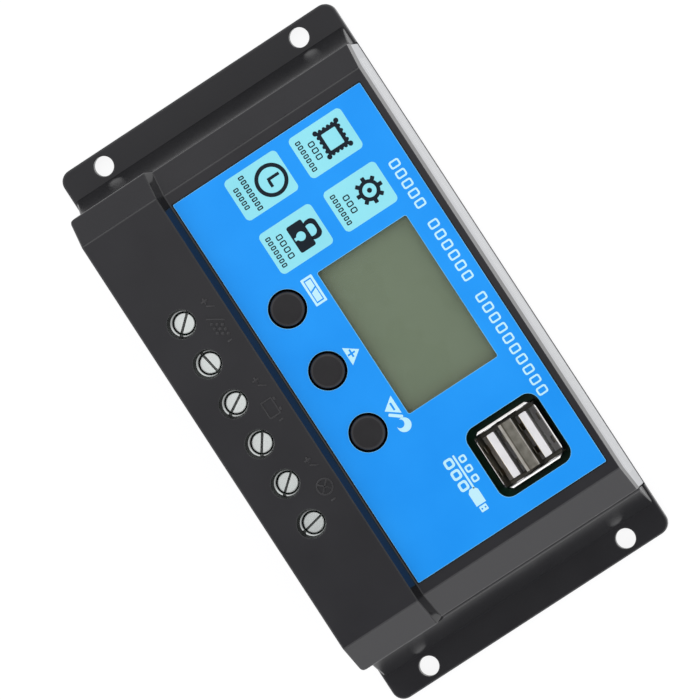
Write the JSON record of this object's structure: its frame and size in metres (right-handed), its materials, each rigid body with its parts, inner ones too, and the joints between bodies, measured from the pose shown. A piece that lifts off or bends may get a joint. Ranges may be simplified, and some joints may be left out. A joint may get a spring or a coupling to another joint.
{
  "type": "solar charge controller",
  "caption": "Flat wall-mounted solar charge controller with flanged case, grey display window, push buttons, screw terminals and a double USB socket.",
  "frame": {"origin": "centre of the flat back of the rear housing", "axes": "+X along the case from the end by the small icons to the end with the USB socket, +Y towards the heat sink side and away from the terminals, +Z out of the front"},
  "size_m": [0.15, 0.078, 0.035],
  "materials": {
    "case_plastic": "moulded black plastic, satin with a slight gloss",
    "label_film": "blue printed film, smooth",
    "clear_window": "clear smoked plastic pane, polished",
    "display_glass": "olive grey liquid crystal cell, polished",
    "white_plastic": "moulded white plastic, matt",
    "circuit_board": "green solder mask over glass laminate, satin",
    "terminal_plastic": "green moulded terminal plastic, matt",
    "component_plastic": "black moulding compound, matt",
    "nickel_plate": "nickel plated steel, bright",
    "zinc_steel": "zinc plated steel",
    "plate_aluminium": "plain extruded aluminium, satin",
    "tinned_brass": "tin plated brass",
    "silicone_pad": "grey silicone pad, matt",
    "key_rubber": "black moulded key, matt",
    "capacitor_sleeve": "dark blue sleeve over an aluminium can",
    "ferrite_core": "painted powder core"
  },
  "bodies": {
    "case": {"rear_housing": "case_plastic", "front_cover": "case_plastic", "label_overlay": "label_film", "display_window": "clear_window", "lcd_glass": "display_glass", "lcd_backlight_frame": "white_plastic", "usb_tongue_1": "white_plastic", "usb_tongue_2": "white_plastic", "power_board": "circuit_board", "control_board": "circuit_board", "terminal_block": "terminal_plastic", "board_header": "component_plastic", "controller_chip": "component_plastic", "power_transistor_1": "component_plastic", "power_transistor_2": "component_plastic", "power_transistor_3": "component_plastic", "switch_body_1": "component_plastic", "switch_body_2": "component_plastic", "switch_body_3": "component_plastic", "usb_shell": "nickel_plate", "case_screw_1": "zinc_steel", "case_screw_2": "zinc_steel", "case_screw_3": "zinc_steel", "case_screw_4": "zinc_steel", "transistor_screw_1": "zinc_steel", "transistor_screw_2": "zinc_steel", "transistor_screw_3": "zinc_steel", "heat_sink_plate": "plate_aluminium", "terminal_contact_1": "tinned_brass", "terminal_contact_2": "tinned_brass", "terminal_contact_3": "tinned_brass", "terminal_contact_4": "tinned_brass", "terminal_contact_5": "tinned_brass", "terminal_contact_6": "tinned_brass", "thermal_pad": "silicone_pad", "capacitor_1": "capacitor_sleeve", "capacitor_2": "capacitor_sleeve", "inductor": "ferrite_core"},
    "screw_1": {"terminal_screw_1": "nickel_plate"},
    "cage_1": {"clamp_cage_1": "nickel_plate"},
    "screw_2": {"terminal_screw_2": "nickel_plate"},
    "cage_2": {"clamp_cage_2": "nickel_plate"},
    "screw_3": {"terminal_screw_3": "nickel_plate"},
    "cage_3": {"clamp_cage_3": "nickel_plate"},
    "screw_4": {"terminal_screw_4": "nickel_plate"},
    "cage_4": {"clamp_cage_4": "nickel_plate"},
    "screw_5": {"terminal_screw_5": "nickel_plate"},
    "cage_5": {"clamp_cage_5": "nickel_plate"},
    "screw_6": {"terminal_screw_6": "nickel_plate"},
    "cage_6": {"clamp_cage_6": "nickel_plate"},
    "button_1": {"button_cap_1": "key_rubber", "switch_plunger_1": "key_rubber"},
    "button_2": {"button_cap_2": "key_rubber", "switch_plunger_2": "key_rubber"},
    "button_3": {"button_cap_3": "key_rubber", "switch_plunger_3": "key_rubber"}
  },
  "joints": [
    {"name": "screw_1_turn", "type": "hinge", "parent": "case", "child": "screw_1", "pos_m": [-0.0284, -0.029, 0.0296], "axis": [0, 0, -1], "range_deg": [0, 2160]},
    {"name": "cage_1_lift", "type": "slide", "parent": "case", "child": "cage_1", "axis": [0, 0, 1], "range_m": [0, 0.0042]},
    {"name": "screw_2_turn", "type": "hinge", "parent": "case", "child": "screw_2", "pos_m": [-0.0172, -0.029, 0.0296], "axis": [0, 0, -1], "range_deg": [0, 2160]},
    {"name": "cage_2_lift", "type": "slide", "parent": "case", "child": "cage_2", "axis": [0, 0, 1], "range_m": [0, 0.0042]},
    {"name": "screw_3_turn", "type": "hinge", "parent": "case", "child": "screw_3", "pos_m": [-0.006, -0.029, 0.0296], "axis": [0, 0, -1], "range_deg": [0, 2160]},
    {"name": "cage_3_lift", "type": "slide", "parent": "case", "child": "cage_3", "axis": [0, 0, 1], "range_m": [0, 0.0042]},
    {"name": "screw_4_turn", "type": "hinge", "parent": "case", "child": "screw_4", "pos_m": [0.0052, -0.029, 0.0296], "axis": [0, 0, -1], "range_deg": [0, 2160]},
    {"name": "cage_4_lift", "type": "slide", "parent": "case", "child": "cage_4", "axis": [0, 0, 1], "range_m": [0, 0.0042]},
    {"name": "screw_5_turn", "type": "hinge", "parent": "case", "child": "screw_5", "pos_m": [0.0164, -0.029, 0.0296], "axis": [0, 0, -1], "range_deg": [0, 2160]},
    {"name": "cage_5_lift", "type": "slide", "parent": "case", "child": "cage_5", "axis": [0, 0, 1], "range_m": [0, 0.0042]},
    {"name": "screw_6_turn", "type": "hinge", "parent": "case", "child": "screw_6", "pos_m": [0.0276, -0.029, 0.0296], "axis": [0, 0, -1], "range_deg": [0, 2160]},
    {"name": "cage_6_lift", "type": "slide", "parent": "case", "child": "cage_6", "axis": [0, 0, 1], "range_m": [0, 0.0042]},
    {"name": "button_1_press", "type": "slide", "parent": "case", "child": "button_1", "axis": [0, 0, -1], "range_m": [0, 0.0005], "stiffness_N_per_m": 600},
    {"name": "button_2_press", "type": "slide", "parent": "case", "child": "button_2", "axis": [0, 0, -1], "range_m": [0, 0.0005], "stiffness_N_per_m": 600},
    {"name": "button_3_press", "type": "slide", "parent": "case", "child": "button_3", "axis": [0, 0, -1], "range_m": [0, 0.0005], "stiffness_N_per_m": 600}
  ],
  "couplings": [
    {"joint": "screw_1_turn", "follows": "cage_1_lift", "rad_per_m": 8976},
    {"joint": "screw_2_turn", "follows": "cage_2_lift", "rad_per_m": 8976},
    {"joint": "screw_3_turn", "follows": "cage_3_lift", "rad_per_m": 8976},
    {"joint": "screw_4_turn", "follows": "cage_4_lift", "rad_per_m": 8976},
    {"joint": "screw_5_turn", "follows": "cage_5_lift", "rad_per_m": 8976},
    {"joint": "screw_6_turn", "follows": "cage_6_lift", "rad_per_m": 8976}
  ]
}
